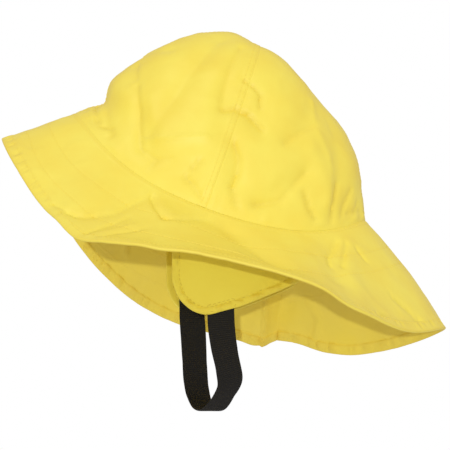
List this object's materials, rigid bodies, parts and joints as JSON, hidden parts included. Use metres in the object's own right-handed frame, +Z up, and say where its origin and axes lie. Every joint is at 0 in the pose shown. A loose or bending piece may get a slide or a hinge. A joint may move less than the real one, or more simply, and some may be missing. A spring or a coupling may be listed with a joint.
{
  "type": "sou'wester hat",
  "caption": "Yellow coated-cloth rain hat with a round crown, a brim long at the back, ear flaps and an elastic chin strap.",
  "frame": {"origin": "centre of the head opening, midway between the front and back ends of the seam where crown and brim meet", "axes": "+Z up as worn, the front of the brim points to -X, the wearer's left to -Y; the opening plane is raised 20 degrees at the front"},
  "size_m": [0.3317, 0.2539, 0.2863],
  "materials": {
    "coated_cloth": "satin waterproof coating",
    "webbing": "matt ribbed elastic"
  },
  "bodies": {
    "root": {"crown_front_left": "coated_cloth", "crown_back_left": "coated_cloth", "crown_back_right": "coated_cloth", "crown_front_right": "coated_cloth", "brim": "coated_cloth", "ear_flap_left": "coated_cloth", "ear_flap_right": "coated_cloth", "chin_strap": "webbing"}
  },
  "joints": []
}
